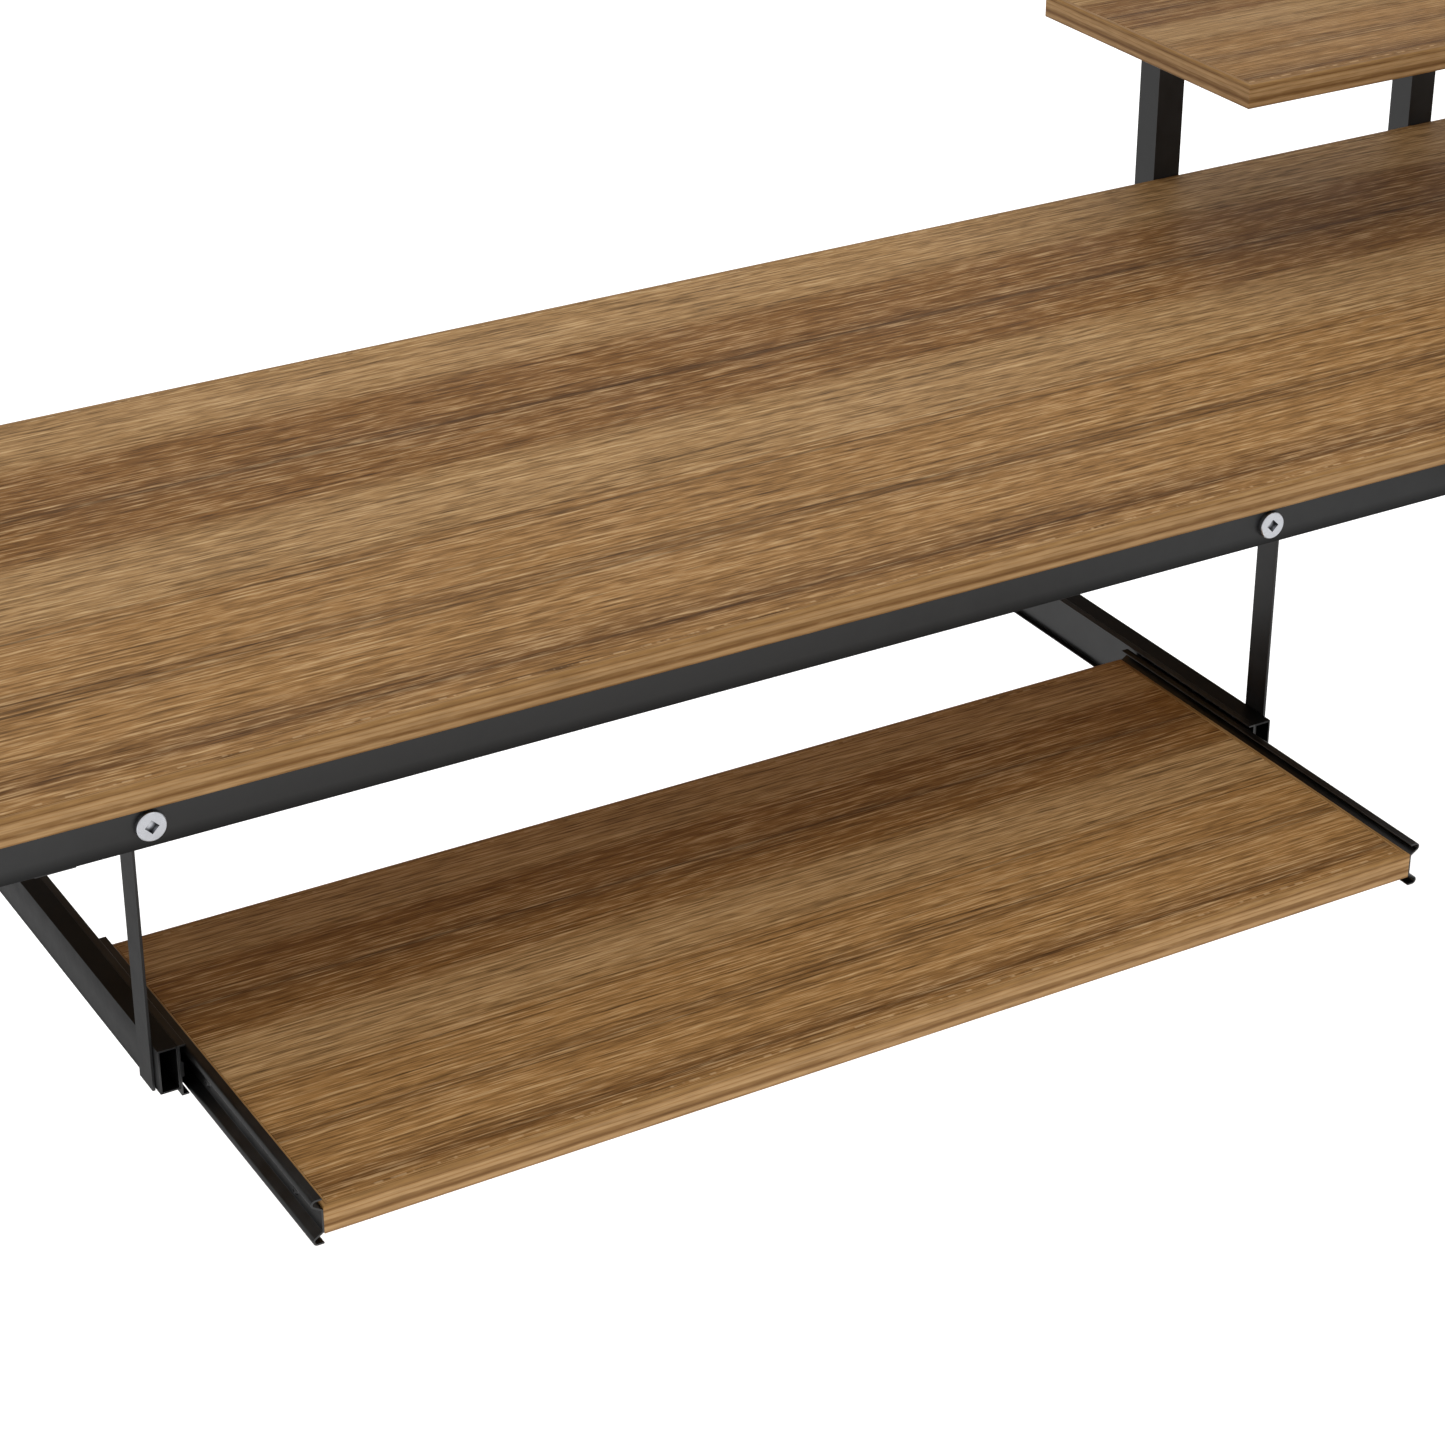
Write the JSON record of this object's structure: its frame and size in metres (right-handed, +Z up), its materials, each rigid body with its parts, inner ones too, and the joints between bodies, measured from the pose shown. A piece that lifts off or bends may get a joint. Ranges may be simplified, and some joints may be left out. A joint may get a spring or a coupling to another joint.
{
  "type": "corner desk",
  "caption": "L-shaped desk with walnut-look tops on a black steel tube frame, a pull-out keyboard tray on ball slides and a raised monitor shelf on square posts.",
  "frame": {"origin": "on the floor, under the middle of the whole desk's bounding box", "axes": "+X right along the long wing as the sitter sees it, +Y away from the sitter to the back, +Z up"},
  "size_m": [1.72, 1.2, 0.911],
  "materials": {
    "walnut_laminate": "satin walnut-grain laminate, grain along the length",
    "laminate_edge": "satin edge band with lengthwise stripes",
    "black_steel": "matte black powder coat",
    "black_slide_steel": "satin black",
    "zinc_bolt": "bright zinc",
    "black_fastener": "black oxide",
    "ball_steel": "polished",
    "cage_steel": "pressed, plain",
    "black_plastic": "moulded, matte",
    "rubber_buffer": "matte"
  },
  "bodies": {
    "frame": {"bar_screws": "black_fastener", "corner_leg": "black_steel", "foot_glides": "black_plastic", "frame_bolts": "black_fastener", "front_rail": "black_steel", "hanger_bolts": "zinc_bolt", "hanger_nuts": "black_fastener", "left_beam": "black_steel", "left_channel": "black_slide_steel", "left_fixed_slide": "black_slide_steel", "left_front_hanger": "black_steel", "left_front_leg": "black_steel", "left_lower_bar": "black_steel", "left_post": "black_steel", "left_rear_hanger": "black_steel", "left_rear_leg": "black_steel", "left_shelf_arm": "black_steel", "left_top_bar": "black_steel", "main_top": "walnut_laminate", "main_top_edge": "laminate_edge", "monitor_shelf": "walnut_laminate", "monitor_shelf_edge": "laminate_edge", "panel_screws": "black_fastener", "post_bolts": "black_fastener", "rear_hanger_screws": "black_fastener", "rear_rail": "black_steel", "return_beam": "black_steel", "return_front_bar": "black_steel", "return_inner_leg": "black_steel", "return_inner_rail": "black_steel", "return_lower_bar": "black_steel", "return_outer_leg": "black_steel", "return_side_bar": "black_steel", "return_top": "walnut_laminate", "return_top_edge": "laminate_edge", "right_beam": "black_steel", "right_channel": "black_slide_steel", "right_fixed_slide": "black_slide_steel", "right_front_hanger": "black_steel", "right_lower_bar": "black_steel", "right_middle_leg": "black_steel", "right_post": "black_steel", "right_rear_hanger": "black_steel", "right_shelf_arm": "black_steel", "right_top_bar": "black_steel", "seam_brackets": "black_steel", "shelf_screws": "black_fastener", "slide_buffers": "rubber_buffer", "slide_rivets": "black_fastener", "tube_plugs": "black_plastic"},
    "tray": {"keyboard_tray": "walnut_laminate", "keyboard_tray_edge": "laminate_edge", "left_tray_slide": "black_slide_steel", "right_tray_slide": "black_slide_steel", "tray_screws": "black_fastener"},
    "left_cage": {"left_ball_cage": "cage_steel", "left_balls": "ball_steel"},
    "right_cage": {"right_ball_cage": "cage_steel", "right_balls": "ball_steel"}
  },
  "joints": [
    {"name": "tray_slide", "type": "slide", "parent": "frame", "child": "tray", "axis": [0, -1, 0], "range_m": [-0.19, 0.01]},
    {"name": "left_cage_travel", "type": "slide", "parent": "frame", "child": "left_cage", "axis": [0, -1, 0], "range_m": [-0.095, 0.005]},
    {"name": "right_cage_travel", "type": "slide", "parent": "frame", "child": "right_cage", "axis": [0, -1, 0], "range_m": [-0.095, 0.005]}
  ],
  "couplings": [
    {"joint": "left_cage_travel", "follows": "tray_slide", "ratio": 0.5},
    {"joint": "right_cage_travel", "follows": "tray_slide", "ratio": 0.5}
  ]
}
